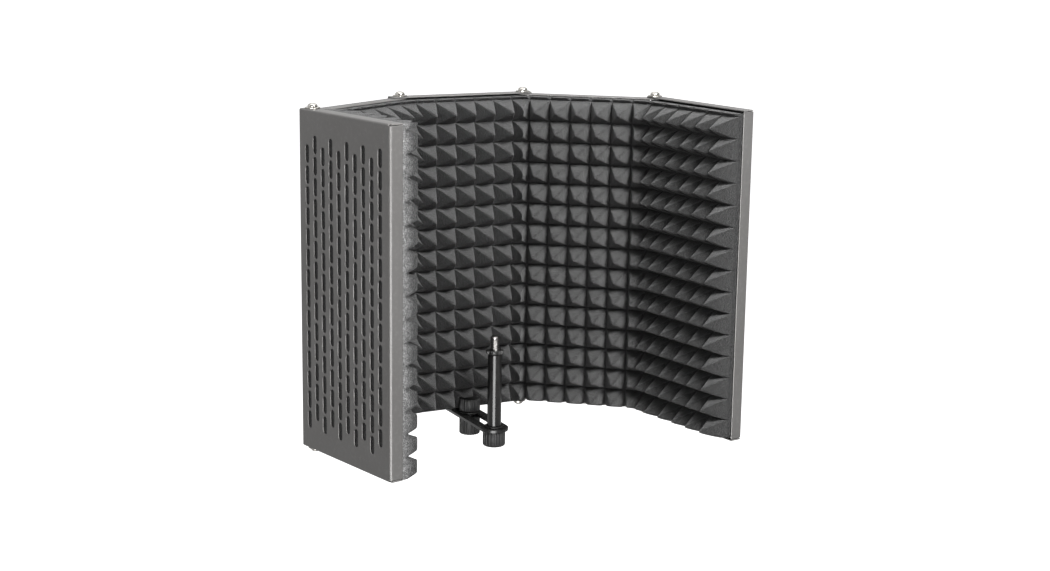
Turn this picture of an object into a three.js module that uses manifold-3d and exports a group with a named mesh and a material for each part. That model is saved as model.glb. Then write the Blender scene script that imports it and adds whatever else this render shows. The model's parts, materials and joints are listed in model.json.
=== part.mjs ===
// A folding microphone isolation shield, in millimetres, +Z up.
// Five sheet-metal trays filled with pyramid foam fold about four vertical hinge lines.
// The middle tray stands on a slotted arm, which carries the microphone post at its front
// end and is clamped to a stand adapter. The origin is the centre of the adapter's lower
// mouth, where a microphone stand screws in. +Y points out through the back of the middle
// tray, and the foam faces -Y.

import * as THREE from 'three';
import { mergeVertices } from 'three/addons/utils/BufferGeometryUtils.js';
import Module from 'manifold-3d';

const wasm = await Module();
wasm.setup();

// ---- Driving dimensions -----------------------------------------------------------------

const GAP = 0.3;                    // clearance between pieces that touch
const SHEET = 1.2;                  // thickness of the tray metal

const PANEL_HEIGHT = 320;
const PIVOT_SPACING = 134;          // from one hinge line to the next
const END_PANEL_LENGTH = 134.6;     // from the outer hinge line to the free edge
const TRAY_DEPTH = 13.5;
const PIVOT_DEPTH = 8.3;            // hinge line, in from a tray's outer face
const HINGE_OVERHANG = 9.4;         // how far a lapping tray runs past the hinge line
const HINGE_CLEARANCE = 1;          // between two trays' back plates when they are in line
const TAB_RADIUS = 6.5;             // round hinge tab of a lapped tray
const CORNER_RADIUS = 5.2;          // round inner corner of a lapping tray's flange
const PIVOT_HOLE_RADIUS = 2.3;

const FOAM_ROWS = 15;
const FOAM_COLUMNS = 6;
const FOAM_MARGIN = 4.8;            // from the hinge line to the first foam valley
const FOAM_BACK_MARGIN = 6;         // from the hinge line to the foam behind it
const FOAM_VALLEY = 5;              // valleys, in front of the tray's rim
const PYRAMID_HEIGHT = 26;

const REST_FOLD = { leftOuter: 71.5, leftInner: 30.5, rightInner: 39.5, rightOuter: 41.5 };
const MOST_FOLD = { inner: 50, outer: 75 };

const SCREW = { shankRadius: 2, headRadius: 4.7, headHeight: 3.3, rimShare: 0.3, tip: 0.5 };
const HINGE_WASHER = { radius: 7, height: 1 };
const HINGE_NUT = { acrossCorners: 8, height: 3 };

const ARM_WIDTH = 28;
const ARM_THICKNESS = 3;
const ARM_SLOT = 9.5;
const ARM_REAR = 31;                // arm's rear end, behind the adapter's axis
const POST_REACH = 56;              // from the adapter's axis to the microphone post
const HINGE_LINE_BACK = 23;         // from the adapter's axis back to the middle hinge lines
const RIVET = { radius: 1.9, headRadius: 3.6, headHeight: 1.1, spacing: 18 };
const RIVET_BACK = 1.5;             // from the middle hinge lines back to the rivets

const PANEL_BOTTOM = 21.5;
const ARM_TOP = PANEL_BOTTOM - GAP;
const ARM_BOTTOM = ARM_TOP - ARM_THICKNESS;

const SOCKET = { radius: 10.5, boreRadius: 7.9, web: 3.2 };
const BOLT = { radius: 3, headCorners: 11.5, headHeight: 4, knobShare: 0.7 };
const BOLT_HOLE_RADIUS = 3.3;
const CLAMP_WASHER = { radius: 10.6, height: 1.6 };
const CLAMP_KNOB = { radius: 10.5, height: 13.2 };
const KNOB_POCKET_SHARE = 0.8;      // depth of a knob's blind hole, of its height
const INSERT = { radius: 6, boreRadius: 3.2, depthShare: 0.72 };
const BUSH = { clearance: 0.1, boreRadius: 3.2, recess: 0.2 };
const RELIEF = { around: 2, above: 3 };   // room in the middle pad for the clamp knob
const RIB_COUNT = 20;
const RIB_DEPTH = 0.7;
const RIB_STEPS = [[0, 0], [0.55, 0], [0.65, 1], [0.9, 1]];   // [share of a rib, share of its depth]

const POST = { radius: 6.9, height: 74, chamfer: 0.5, studShare: 0.3 };
const POST_WASHER = { radius: 9.6, height: 1.2 };
const LOCK_RING = { radius: 8.6, height: 4 };
const THREAD = { radius: 4.7, height: 18, chamfer: 1 };
const POST_KNOB = { radius: 11.2, height: 15.3 };

const CUT_MARGIN = 1;               // how far a cutting solid runs past what it cuts
const WELD_DISTANCE = 1e-4;

// ---- Colours ----------------------------------------------------------------------------

const TRAY_PAINT = { color: 0x5d5c58, roughness: 0.5, metalness: 0.4 };
const FOAM_GREY = { color: 0x3a3a3c, roughness: 0.95, metalness: 0 };
const BLACK_PAINT = { color: 0x1b1b1c, roughness: 0.45, metalness: 0.3 };
const BLACK_PLASTIC = { color: 0x222223, roughness: 0.55, metalness: 0 };
const NICKEL = { color: 0xb8b6b0, roughness: 0.25, metalness: 1 };
const BRASS = { color: 0xb59a55, roughness: 0.35, metalness: 1 };

// ---- Solids -----------------------------------------------------------------------------

// A closed geometry as a manifold solid.
function solid(geometry) {
  const bare = geometry.index ? geometry.toNonIndexed() : geometry.clone();
  bare.deleteAttribute('normal');
  bare.deleteAttribute('uv');
  const merged = mergeVertices(bare, WELD_DISTANCE);
  return new wasm.Manifold(new wasm.Mesh({
    numProp: 3,
    vertProperties: new Float32Array(merged.attributes.position.array),
    triVerts: new Uint32Array(merged.index.array),
  }));
}

// A manifold solid as a three.js geometry.
function geometryOf(manifold) {
  const mesh = manifold.getMesh();
  const geometry = new THREE.BufferGeometry();
  geometry.setAttribute('position', new THREE.BufferAttribute(mesh.vertProperties, 3));
  geometry.setIndex(new THREE.BufferAttribute(mesh.triVerts, 1));
  geometry.computeVertexNormals();
  return geometry;
}

// A plan shape pulled up from z = low to z = high.
function prism(shape, low, high, curveSegments = 8) {
  const settings = { depth: high - low, bevelEnabled: false, curveSegments };
  return new THREE.ExtrudeGeometry(shape, settings).translate(0, 0, low);
}

function cutHole(shape, x, y, radius) {
  shape.holes.push(new THREE.Path().absarc(x, y, radius, 0, 2 * Math.PI, true));
}

function box(xLow, xHigh, yLow, yHigh, zLow, zHigh) {
  const geometry = new THREE.BoxGeometry(xHigh - xLow, yHigh - yLow, zHigh - zLow);
  return geometry.translate((xLow + xHigh) / 2, (yLow + yHigh) / 2, (zLow + zHigh) / 2);
}

function disc(radius, holeRadius, low, high, curveSegments = 12) {
  const shape = new THREE.Shape().absarc(0, 0, radius, 0, 2 * Math.PI, false);
  if (holeRadius > 0) {
    cutHole(shape, 0, 0, holeRadius);
  }
  return prism(shape, low, high, curveSegments);
}

function hexagon(acrossCorners, holeRadius, low, high) {
  const corners = [0, 1, 2, 3, 4, 5].map((k) => {
    const angle = k * Math.PI / 3;
    return new THREE.Vector2(Math.cos(angle), Math.sin(angle)).multiplyScalar(acrossCorners / 2);
  });
  const shape = new THREE.Shape(corners);
  if (holeRadius > 0) {
    cutHole(shape, 0, 0, holeRadius);
  }
  return prism(shape, low, high, 8);
}

// A lathed solid from a profile of [radius, z], from its lowest point to its highest.
function turned(profile, segments) {
  const points = profile.map(([r, z]) => new THREE.Vector2(r, z));
  return new THREE.LatheGeometry(points, segments).rotateX(Math.PI / 2);
}

// The outline of a hand knob: shallow square ribs around a circle.
function ribbedOutline(radius) {
  const points = [];
  for (let rib = 0; rib < RIB_COUNT; rib += 1) {
    for (const [share, depthShare] of RIB_STEPS) {
      const r = radius - depthShare * RIB_DEPTH;
      const angle = (rib + share) * 2 * Math.PI / RIB_COUNT;
      points.push(new THREE.Vector2(r * Math.cos(angle), r * Math.sin(angle)));
    }
  }
  return new THREE.Shape(points);
}

function named(name, geometry, finish) {
  const mesh = new THREE.Mesh(geometry, new THREE.MeshStandardMaterial(finish));
  mesh.name = name;
  return mesh;
}

// ---- Trays ------------------------------------------------------------------------------

const OUTER_Y = PIVOT_DEPTH;
const RIM_Y = PIVOT_DEPTH - TRAY_DEPTH;

// How far a back plate runs past its hinge line or free edge.
const PLATE_REACH = { laps: HINGE_OVERHANG, lapped: -(HINGE_OVERHANG + HINGE_CLEARANCE), free: 0 };

// A flange's end, from the rim to the outer face, as [distance past the hinge line, y].
function flangeEnd(kind) {
  if (kind === 'free') {
    return [[0, RIM_Y], [0, OUTER_Y]];
  }
  const points = [];
  const lapping = kind === 'laps';
  const centre = lapping ? [HINGE_OVERHANG - CORNER_RADIUS, RIM_Y + CORNER_RADIUS] : [0, 0];
  const radius = lapping ? CORNER_RADIUS : TAB_RADIUS;
  const from = lapping ? -Math.PI / 2 : Math.asin(RIM_Y / TAB_RADIUS);
  const to = lapping ? 0 : Math.PI / 2;
  const steps = 8;
  for (let step = 0; step <= steps; step += 1) {
    const angle = from + (to - from) * step / steps;
    points.push([centre[0] + radius * Math.cos(angle), centre[1] + radius * Math.sin(angle)]);
  }
  if (!lapping) {
    points.push([PLATE_REACH.lapped, TAB_RADIUS]);
  }
  points.push([PLATE_REACH[kind], OUTER_Y]);
  return points;
}

function flangeShape({ low, high, lowEnd, highEnd }) {
  const right = flangeEnd(highEnd).map(([past, y]) => new THREE.Vector2(high + past, y));
  const left = flangeEnd(lowEnd).map(([past, y]) => new THREE.Vector2(low - past, y));
  const shape = new THREE.Shape([...right, ...left.reverse()]);
  for (const [x, kind] of [[low, lowEnd], [high, highEnd]]) {
    if (kind !== 'free') {
      cutHole(shape, x, 0, PIVOT_HOLE_RADIUS);
    }
  }
  return shape;
}

// A lapped tray is shorter than its neighbours, so its flanges pass inside theirs.
function trayInset(tray) {
  return [tray.lowEnd, tray.highEnd].includes('lapped') ? SHEET + GAP : 0;
}

function trayGeometry(tray) {
  const zLow = trayInset(tray);
  const zHigh = PANEL_HEIGHT - trayInset(tray);
  const xLow = tray.low - PLATE_REACH[tray.lowEnd];
  const xHigh = tray.high + PLATE_REACH[tray.highEnd];
  const flange = flangeShape(tray);
  let body = solid(box(xLow, xHigh, OUTER_Y - SHEET, OUTER_Y, zLow, zHigh));
  body = body.add(solid(prism(flange, zLow, zLow + SHEET)));
  body = body.add(solid(prism(flange, zHigh - SHEET, zHigh)));
  if (tray.lowEnd === 'free') {
    body = body.add(solid(box(xLow, xLow + SHEET, RIM_Y, OUTER_Y, zLow, zHigh)));
  }
  if (tray.highEnd === 'free') {
    body = body.add(solid(box(xHigh - SHEET, xHigh, RIM_Y, OUTER_Y, zLow, zHigh)));
  }
  return body;
}

// ---- Foam -------------------------------------------------------------------------------

const FOAM_BOTTOM = 2 * (SHEET + GAP) + GAP;
const FOAM_TOP = PANEL_HEIGHT - FOAM_BOTTOM;
const FOAM_BACK_Y = OUTER_Y - SHEET - GAP;
const VALLEY_Y = RIM_Y - FOAM_VALLEY;
const PEAK_Y = VALLEY_Y - PYRAMID_HEIGHT;
const CELL_WIDTH = (PIVOT_SPACING - 2 * FOAM_MARGIN) / FOAM_COLUMNS;
const CELL_HEIGHT = (FOAM_TOP - FOAM_BOTTOM) / FOAM_ROWS;

// A slab with rows of pyramids on its front, from x = start, one cell wide for each column.
function pyramidSlab(start, columns) {
  const position = [];
  const index = [];
  const corner = (column, row) => row * (columns + 1) + column;
  for (let row = 0; row <= FOAM_ROWS; row += 1) {
    for (let column = 0; column <= columns; column += 1) {
      position.push(start + column * CELL_WIDTH, VALLEY_Y, FOAM_BOTTOM + row * CELL_HEIGHT);
    }
  }
  for (let row = 0; row < FOAM_ROWS; row += 1) {
    for (let column = 0; column < columns; column += 1) {
      const peak = position.length / 3;
      position.push(start + (column + 0.5) * CELL_WIDTH, PEAK_Y);
      position.push(FOAM_BOTTOM + (row + 0.5) * CELL_HEIGHT);
      const around = [corner(column, row), corner(column + 1, row),
        corner(column + 1, row + 1), corner(column, row + 1)];
      around.forEach((point, k) => index.push(point, around[(k + 1) % 4], peak));
    }
  }
  const backFirst = position.length / 3;
  for (const z of [FOAM_BOTTOM, FOAM_TOP]) {
    for (const x of [start, start + columns * CELL_WIDTH]) {
      position.push(x, FOAM_BACK_Y, z);
    }
  }
  const [backLow, backRight, backTop, backFar] = [0, 1, 2, 3].map((k) => backFirst + k);
  const columnsUp = Array.from({ length: columns + 1 }, (_, column) => column);
  const rowsUp = Array.from({ length: FOAM_ROWS + 1 }, (_, row) => row);
  const walls = [
    [backLow, backRight, columnsUp.map((column) => corner(column, 0)).reverse()],
    [backFar, backTop, columnsUp.map((column) => corner(column, FOAM_ROWS))],
    [backTop, backLow, rowsUp.map((row) => corner(0, row))],
    [backRight, backFar, rowsUp.map((row) => corner(columns, row)).reverse()],
  ];
  for (const [first, second, edge] of walls) {
    index.push(first, second, edge[0]);
    for (let k = 0; k + 1 < edge.length; k += 1) {
      index.push(first, edge[k], edge[k + 1]);
    }
  }
  index.push(backLow, backTop, backFar, backLow, backFar, backRight);
  const geometry = new THREE.BufferGeometry();
  geometry.setAttribute('position', new THREE.Float32BufferAttribute(position, 3));
  geometry.setIndex(index);
  return geometry;
}

// A pad's end in plan, from its back to its peaks, as [distance short of the hinge line, y].
// It is mitred by half of the hinge's greatest fold, so neighbours meet and never overlap.
function foamEnd(kind, fold) {
  if (kind === 'free') {
    return [[SHEET + GAP, FOAM_BACK_Y], [SHEET + GAP, PEAK_Y - CUT_MARGIN]];
  }
  const slope = Math.tan(fold / 2 * Math.PI / 180);
  return [
    [FOAM_BACK_MARGIN, FOAM_BACK_Y],
    [FOAM_BACK_MARGIN, -(FOAM_BACK_MARGIN - GAP) / slope],
    [GAP - (PEAK_Y - CUT_MARGIN) * slope, PEAK_Y - CUT_MARGIN],
  ];
}

function foamGeometry(tray) {
  const start = tray.lowEnd === 'free'
    ? tray.high - FOAM_MARGIN - (FOAM_COLUMNS + 1) * CELL_WIDTH
    : tray.low + FOAM_MARGIN;
  const partColumn = [tray.lowEnd, tray.highEnd].includes('free') ? 1 : 0;
  const left = foamEnd(tray.lowEnd, tray.lowFold).map(([short, y]) => [tray.low + short, y]);
  const right = foamEnd(tray.highEnd, tray.highFold).map(([short, y]) => [tray.high - short, y]);
  const outline = [...left, ...right.reverse()].map(([x, y]) => new THREE.Vector2(x, y));
  const plan = prism(new THREE.Shape(outline), 0, PANEL_HEIGHT);
  return solid(pyramidSlab(start, FOAM_COLUMNS + partColumn)).intersect(solid(plan));
}

// Room for the clamp knob at the bottom of the middle pad, open to the front.
function knobRelief() {
  const radius = CLAMP_KNOB.radius + RELIEF.around;
  const top = GAP + CLAMP_WASHER.height + CLAMP_KNOB.height + RELIEF.above;
  const shape = new THREE.Shape();
  shape.moveTo(radius, PEAK_Y - CUT_MARGIN);
  shape.lineTo(radius, -HINGE_LINE_BACK);
  shape.absarc(0, -HINGE_LINE_BACK, radius, 0, Math.PI, false);
  shape.lineTo(-radius, PEAK_Y - CUT_MARGIN);
  return solid(prism(shape, 0, top, 10));
}

// ---- Hinge hardware ---------------------------------------------------------------------

// A dome-headed screw, pointing down from the face it clamps, which is at z = 0.
function screwGeometry(length) {
  const headLow = HINGE_WASHER.height + 2 * GAP;
  const profile = [
    [0, headLow - length],
    [SCREW.shankRadius, headLow - length],
    [SCREW.shankRadius, headLow],
    [SCREW.headRadius, headLow],
    [SCREW.headRadius, headLow + SCREW.rimShare * SCREW.headHeight],
  ];
  const arcSteps = 4;
  for (let step = 1; step <= arcSteps; step += 1) {
    const angle = step / arcSteps * Math.PI / 2;
    const rise = SCREW.rimShare + (1 - SCREW.rimShare) * Math.sin(angle);
    profile.push([SCREW.headRadius * Math.cos(angle), headLow + rise * SCREW.headHeight]);
  }
  profile[profile.length - 1][0] = 0;
  return turned(profile, 16);
}

// One end of a hinge line: the screw, its washer and its nut under the two flanges.
function hingeEnd(hinge, end) {
  const group = new THREE.Group();
  const flangesLow = -(2 * SHEET + GAP);
  const nutLow = flangesLow - GAP - HINGE_NUT.height;
  const screwLength = HINGE_WASHER.height + 2 * GAP - nutLow + SCREW.tip;
  const washer = disc(HINGE_WASHER.radius, PIVOT_HOLE_RADIUS, GAP, GAP + HINGE_WASHER.height, 10);
  const nut = hexagon(HINGE_NUT.acrossCorners, PIVOT_HOLE_RADIUS, nutLow, nutLow + HINGE_NUT.height);
  group.add(named(`${hinge}_${end}_screw`, screwGeometry(screwLength), NICKEL));
  group.add(named(`${hinge}_${end}_washer`, washer, NICKEL));
  group.add(named(`${hinge}_${end}_nut`, nut, NICKEL));
  group.position.z = end === 'top' ? PANEL_HEIGHT : 0;
  group.rotation.x = end === 'top' ? 0 : Math.PI;
  return group;
}

function hingeHardware(hinge, x) {
  const group = new THREE.Group();
  group.add(hingeEnd(hinge, 'top'), hingeEnd(hinge, 'bottom'));
  group.position.x = x;
  return group;
}

// ---- Panels -----------------------------------------------------------------------------

// low and high are where a tray's hinge lines or free edge lie along its own x.
const TRAYS = {
  left_end: {
    low: -END_PANEL_LENGTH, high: 0, lowEnd: 'free', highEnd: 'laps', highFold: MOST_FOLD.outer,
  },
  left_inner: {
    low: -PIVOT_SPACING, high: 0, lowEnd: 'lapped', highEnd: 'lapped',
    lowFold: MOST_FOLD.outer, highFold: MOST_FOLD.inner,
  },
  centre: {
    low: -PIVOT_SPACING / 2, high: PIVOT_SPACING / 2, lowEnd: 'laps', highEnd: 'laps',
    lowFold: MOST_FOLD.inner, highFold: MOST_FOLD.inner,
  },
  right_inner: {
    low: 0, high: PIVOT_SPACING, lowEnd: 'lapped', highEnd: 'lapped',
    lowFold: MOST_FOLD.inner, highFold: MOST_FOLD.outer,
  },
  right_end: {
    low: 0, high: END_PANEL_LENGTH, lowEnd: 'laps', highEnd: 'free', lowFold: MOST_FOLD.outer,
  },
};

// A panel is a group at its own hinge line, with its tray and its foam, less any cuts.
function panel(name, cuts = {}) {
  const group = new THREE.Group();
  const tray = trayGeometry(TRAYS[name]);
  const foam = foamGeometry(TRAYS[name]);
  const cutTray = cuts.tray ? tray.subtract(cuts.tray) : tray;
  const cutFoam = cuts.foam ? foam.subtract(cuts.foam) : foam;
  group.add(named(`${name}_tray`, geometryOf(cutTray), TRAY_PAINT));
  group.add(named(`${name}_foam`, geometryOf(cutFoam), FOAM_GREY));
  return group;
}

function folded(group, x, degrees) {
  group.position.x = x;
  group.rotation.z = degrees * Math.PI / 180;
  return group;
}

function rivetHoles() {
  const hole = (x) => {
    const cutter = disc(RIVET.radius + GAP, 0, -CUT_MARGIN, SHEET + CUT_MARGIN, 8);
    return solid(cutter.translate(x, RIVET_BACK, 0));
  };
  return hole(-RIVET.spacing / 2).add(hole(RIVET.spacing / 2));
}

function centrePanel() {
  const group = panel('centre', { tray: rivetHoles(), foam: knobRelief() });
  group.add(hingeHardware('left_inner_hinge', -PIVOT_SPACING / 2));
  group.add(hingeHardware('right_inner_hinge', PIVOT_SPACING / 2));
  return group;
}

function leftWing() {
  const end = panel('left_end');
  end.add(hingeHardware('left_outer_hinge', 0));
  const inner = panel('left_inner');
  inner.add(folded(end, -PIVOT_SPACING, REST_FOLD.leftOuter));
  return inner;
}

function rightWing() {
  const end = panel('right_end');
  end.add(hingeHardware('right_outer_hinge', 0));
  const inner = panel('right_inner');
  inner.add(folded(end, PIVOT_SPACING, -REST_FOLD.rightOuter));
  return inner;
}

// ---- Slotted arm ------------------------------------------------------------------------

// The adapter's axis is x = y = 0, at the slot's rear end. The arm's front end is round
// about the post, which stands at the slot's front end.
function armPlate() {
  const half = ARM_WIDTH / 2;
  const shape = new THREE.Shape();
  shape.moveTo(half, ARM_REAR);
  shape.lineTo(-half, ARM_REAR);
  shape.lineTo(-half, -POST_REACH);
  shape.absarc(0, -POST_REACH, half, Math.PI, 2 * Math.PI, false);
  shape.lineTo(half, ARM_REAR);
  const slot = new THREE.Path();
  slot.absarc(0, 0, ARM_SLOT / 2, 0, Math.PI, false);
  slot.absarc(0, -POST_REACH, ARM_SLOT / 2, Math.PI, 2 * Math.PI, false);
  shape.holes.push(slot);
  for (const x of [-RIVET.spacing / 2, RIVET.spacing / 2]) {
    cutHole(shape, x, HINGE_LINE_BACK + RIVET_BACK, RIVET.radius + GAP);
  }
  return named('arm_plate', prism(shape, ARM_BOTTOM, ARM_TOP, 12), BLACK_PAINT);
}

function rivet(side, x) {
  const low = ARM_BOTTOM - GAP;
  const high = PANEL_BOTTOM + SHEET + GAP;
  const profile = [
    [0, low - RIVET.headHeight],
    [0.7 * RIVET.headRadius, low - RIVET.headHeight],
    [RIVET.headRadius, low - 0.4 * RIVET.headHeight],
    [RIVET.headRadius, low],
    [RIVET.radius, low],
    [RIVET.radius, high],
    [RIVET.headRadius, high],
    [RIVET.headRadius, high + RIVET.headHeight],
    [0, high + RIVET.headHeight],
  ];
  const mesh = named(`arm_${side}_rivet`, turned(profile, 16), BLACK_PAINT);
  mesh.position.set(x, HINGE_LINE_BACK + RIVET_BACK, 0);
  return mesh;
}

// ---- Stand adapter ----------------------------------------------------------------------

const SOCKET_TOP = ARM_BOTTOM - GAP;
const BORE_TOP = SOCKET_TOP - SOCKET.web;

// A ribbed cup, open below for the stand's thread, with a web that the clamp bolt hangs from.
function standSocket() {
  const shape = ribbedOutline(SOCKET.radius);
  cutHole(shape, 0, 0, BOLT_HOLE_RADIUS);
  const bore = solid(disc(SOCKET.boreRadius, 0, -CUT_MARGIN, BORE_TOP, 16));
  const body = solid(prism(shape, 0, SOCKET_TOP, 8)).subtract(bore);
  return named('stand_socket', geometryOf(body), BLACK_PLASTIC);
}

const CLAMP_WASHER_LOW = ARM_TOP + GAP;
const CLAMP_KNOB_LOW = CLAMP_WASHER_LOW + CLAMP_WASHER.height + GAP;

function clampBolt() {
  const headTop = BORE_TOP - GAP;
  const tip = CLAMP_KNOB_LOW + BOLT.knobShare * CLAMP_KNOB.height;
  const head = solid(hexagon(BOLT.headCorners, 0, headTop - BOLT.headHeight, headTop));
  const shank = solid(disc(BOLT.radius, 0, headTop - BOLT.headHeight / 2, tip, 8));
  return named('clamp_bolt', geometryOf(head.add(shank)), NICKEL);
}

// A bush that keeps a bolt centred in the arm's slot and is thinner than the arm.
function slideBush(name) {
  const radius = ARM_SLOT / 2 - BUSH.clearance;
  const [low, high] = [ARM_BOTTOM + BUSH.recess, ARM_TOP - BUSH.recess];
  return named(name, disc(radius, BUSH.boreRadius, low, high, 16), BLACK_PLASTIC);
}

function clampWasher() {
  const low = CLAMP_WASHER_LOW;
  const geometry = disc(CLAMP_WASHER.radius, BOLT_HOLE_RADIUS, low, low + CLAMP_WASHER.height);
  return named('clamp_washer', geometry, BLACK_PAINT);
}

// A hand knob with a blind hole for a threaded insert. mouth is the end the bolt enters.
function knob(name, { radius, height }, low, mouth) {
  const depth = KNOB_POCKET_SHARE * height;
  const pocket = mouth === 'below'
    ? [low - CUT_MARGIN, low + depth]
    : [low + height - depth, low + height + CUT_MARGIN];
  const body = solid(prism(ribbedOutline(radius), low, low + height));
  const hole = solid(disc(INSERT.radius + GAP, 0, ...pocket, 8));
  return named(name, geometryOf(body.subtract(hole)), BLACK_PLASTIC);
}

function insert(name, { height }, low, mouth) {
  const depth = INSERT.depthShare * height;
  const from = mouth === 'below' ? low : low + height - depth;
  return named(name, disc(INSERT.radius, INSERT.boreRadius, from, from + depth, 8), BRASS);
}

function standAdapter() {
  const group = new THREE.Group();
  group.add(standSocket(), clampBolt(), slideBush('clamp_bush'), clampWasher());
  group.add(knob('clamp_knob', CLAMP_KNOB, CLAMP_KNOB_LOW, 'below'));
  group.add(insert('clamp_knob_insert', CLAMP_KNOB, CLAMP_KNOB_LOW, 'below'));
  return group;
}

// ---- Microphone post --------------------------------------------------------------------

const POST_WASHER_LOW = ARM_TOP + GAP;
const POST_LOW = POST_WASHER_LOW + POST_WASHER.height + GAP;
const POST_KNOB_LOW = ARM_BOTTOM - GAP - POST_KNOB.height;

// The rod, with its thread for the microphone clip above and its fixing stud below.
function postRod() {
  const rodTop = ARM_TOP + POST.height;
  const stud = POST_KNOB_LOW + POST.studShare * POST_KNOB.height;
  const profile = [
    [0, stud],
    [BOLT.radius, stud],
    [BOLT.radius, POST_LOW],
    [POST.radius - POST.chamfer, POST_LOW],
    [POST.radius, POST_LOW + POST.chamfer],
    [POST.radius, rodTop - POST.chamfer],
    [POST.radius - POST.chamfer, rodTop],
    [THREAD.radius, rodTop],
    [THREAD.radius, rodTop + THREAD.height - THREAD.chamfer],
    [THREAD.radius - THREAD.chamfer, rodTop + THREAD.height],
    [0, rodTop + THREAD.height],
  ];
  return named('post_rod', turned(profile, 28), BLACK_PAINT);
}

function postWasher() {
  const low = POST_WASHER_LOW;
  const geometry = disc(POST_WASHER.radius, BOLT_HOLE_RADIUS, low, low + POST_WASHER.height);
  return named('post_washer', geometry, BLACK_PAINT);
}

// The round nut that locks a microphone clip on the thread.
function lockRing() {
  const low = ARM_TOP + POST.height + GAP;
  const shape = ribbedOutline(LOCK_RING.radius);
  cutHole(shape, 0, 0, THREAD.radius + GAP);
  return named('post_lock_ring', prism(shape, low, low + LOCK_RING.height, 10), BLACK_PAINT);
}

function microphonePost() {
  const group = new THREE.Group();
  group.add(postRod(), postWasher(), lockRing(), slideBush('post_bush'));
  group.add(knob('post_knob', POST_KNOB, POST_KNOB_LOW, 'above'));
  group.add(insert('post_knob_insert', POST_KNOB, POST_KNOB_LOW, 'above'));
  group.position.y = -POST_REACH;
  return group;
}

// ---- Assembly ---------------------------------------------------------------------------

function shield() {
  const group = centrePanel();
  group.add(folded(leftWing(), -PIVOT_SPACING / 2, REST_FOLD.leftInner));
  group.add(folded(rightWing(), PIVOT_SPACING / 2, -REST_FOLD.rightInner));
  group.position.set(0, HINGE_LINE_BACK, PANEL_BOTTOM);
  return group;
}

const isolationShield = new THREE.Group();
isolationShield.add(shield());
isolationShield.add(armPlate(), rivet('left', -RIVET.spacing / 2), rivet('right', RIVET.spacing / 2));
isolationShield.add(standAdapter(), microphonePost());

export default isolationShield;
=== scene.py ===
"""Looks of a folding microphone isolation shield, built around its CAD frame.

Five perforated sheet-metal shells hold pyramid foam pads and fold about four vertical
hinge lines. The middle shell stands on a slotted arm with a microphone post and an adapter
for a microphone stand. Numbers are millimetres unless a name says otherwise. A panel's own
frame has x along the panel, y out through its back and z up, and its hinge line is y = 0.
"""

import json
import math

import bmesh
import bpy
import numpy as np
from mathutils import Matrix, Vector
from mathutils.geometry import delaunay_2d_cdt


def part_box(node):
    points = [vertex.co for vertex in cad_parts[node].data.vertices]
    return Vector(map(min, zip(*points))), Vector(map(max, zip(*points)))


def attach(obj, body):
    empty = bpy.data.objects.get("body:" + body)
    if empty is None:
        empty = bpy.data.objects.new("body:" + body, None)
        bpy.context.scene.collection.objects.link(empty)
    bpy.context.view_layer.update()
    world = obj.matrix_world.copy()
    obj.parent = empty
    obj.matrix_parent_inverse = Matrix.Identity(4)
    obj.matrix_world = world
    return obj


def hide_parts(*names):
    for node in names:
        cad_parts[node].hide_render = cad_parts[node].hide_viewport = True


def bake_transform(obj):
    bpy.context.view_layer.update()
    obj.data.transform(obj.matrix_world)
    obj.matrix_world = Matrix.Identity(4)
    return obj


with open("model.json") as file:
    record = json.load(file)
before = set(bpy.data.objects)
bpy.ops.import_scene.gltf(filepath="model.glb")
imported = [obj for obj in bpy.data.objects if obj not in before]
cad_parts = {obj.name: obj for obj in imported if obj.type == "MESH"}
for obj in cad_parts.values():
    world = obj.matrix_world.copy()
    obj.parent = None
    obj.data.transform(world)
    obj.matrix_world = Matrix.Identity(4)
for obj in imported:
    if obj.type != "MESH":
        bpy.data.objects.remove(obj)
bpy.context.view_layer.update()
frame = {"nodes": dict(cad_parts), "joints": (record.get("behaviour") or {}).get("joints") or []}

MM = 0.001

# ---- Camera -----------------------------------------------------------------------------

CAMERA_PLACE_M = (-0.759, -1.588, 0.5275)
CAMERA_TURN = math.radians(27.37)
CAMERA_DIP = math.radians(11.97)
CAMERA_ROLL = math.radians(0.86)
CAMERA_LENS = 61.75
CAMERA_SENSOR = 36
CAMERA_SHIFT = (-0.0018, -0.001)


def add_camera():
    turn, dip, roll = CAMERA_TURN, CAMERA_DIP, CAMERA_ROLL
    ahead = Vector((math.sin(turn) * math.cos(dip), math.cos(turn) * math.cos(dip), -math.sin(dip)))
    level = Vector((math.cos(turn), -math.sin(turn), 0))
    up = level.cross(ahead)
    right = level * math.cos(roll) + up * math.sin(roll)
    top = up * math.cos(roll) - level * math.sin(roll)
    data = bpy.data.cameras.new("camera")
    data.lens = CAMERA_LENS
    data.sensor_width = CAMERA_SENSOR
    data.sensor_fit = "HORIZONTAL"
    data.shift_x, data.shift_y = CAMERA_SHIFT
    data.clip_end = 100
    camera = bpy.data.objects.new("camera", data)
    bpy.context.scene.collection.objects.link(camera)
    rotation = Matrix((right, top, -ahead)).transposed().to_4x4()
    camera.matrix_world = Matrix.Translation(CAMERA_PLACE_M) @ rotation
    bpy.context.scene.camera = camera


add_camera()

# ---- Materials --------------------------------------------------------------------------


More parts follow.
